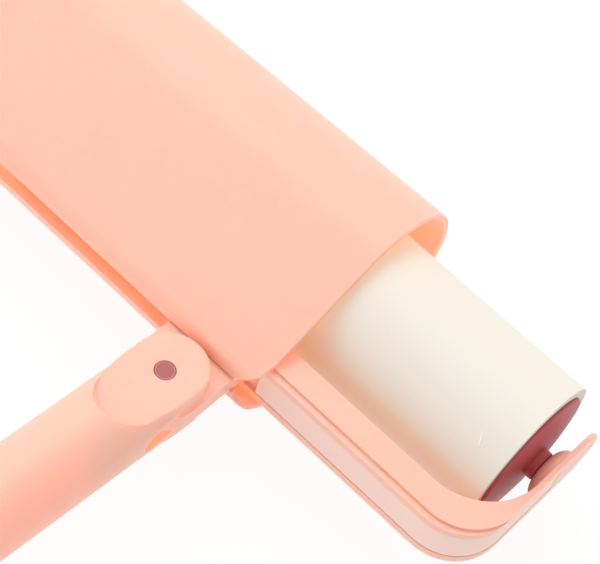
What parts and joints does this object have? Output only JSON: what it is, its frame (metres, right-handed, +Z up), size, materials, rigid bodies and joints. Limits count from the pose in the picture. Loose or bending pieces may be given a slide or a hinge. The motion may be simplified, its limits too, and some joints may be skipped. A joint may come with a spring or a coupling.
{
  "type": "lint roller",
  "caption": "Folding lint roller: adhesive refill roll between the arms of a moulded cradle, slotted sliding cover and a fork-hinged round handle with a hang hole.",
  "frame": {"origin": "on the ground below the middle of the bounding box, with the cover slid open", "axes": "+Z up along the hinge pin, +X along the roll towards its bare end, +Y from the handle towards the roll"},
  "size_m": [0.2552, 0.2346, 0.059],
  "materials": {
    "cradle_plastic": "satin moulded peach plastic",
    "trim_plastic": "satin moulded pale peach plastic",
    "cover_plastic": "satin, slightly translucent peach plastic",
    "handle_plastic": "satin moulded peach plastic",
    "pin_plastic": "semi-gloss dark red plastic",
    "washer_plastic": "natural nylon",
    "sheet_paper": "wound adhesive sheets, cream",
    "core_card": "grey-brown board",
    "plug_plastic": "glossy dark red plastic"
  },
  "bodies": {
    "cradle": {"cradle": "cradle_plastic", "trim_strip_left": "trim_plastic", "trim_strip_right": "trim_plastic"},
    "roll": {"adhesive_roll": "sheet_paper", "outer_sheet": "sheet_paper", "card_core": "core_card", "end_plug_left": "plug_plastic", "end_plug_right": "plug_plastic"},
    "cover": {"cover": "cover_plastic"},
    "handle": {"handle": "handle_plastic", "end_cap": "handle_plastic", "hinge_pin": "pin_plastic", "pin_cap": "pin_plastic", "washer_lower": "washer_plastic", "washer_upper": "washer_plastic"}
  },
  "joints": [
    {"name": "roll_spin", "type": "hinge", "parent": "cradle", "child": "roll", "pos_m": [0.03742, 0.08177, 0.0295], "axis": [1, 0, 0], "continuous": true},
    {"name": "cover_slide", "type": "slide", "parent": "cradle", "child": "cover", "axis": [1, 0, 0], "range_m": [-0.035, 0.181]},
    {"name": "handle_fold", "type": "hinge", "parent": "cradle", "child": "handle", "pos_m": [0.03742, 0.02087, 0.0295], "axis": [0, 0, 1], "range_deg": [0, 90]}
  ]
}
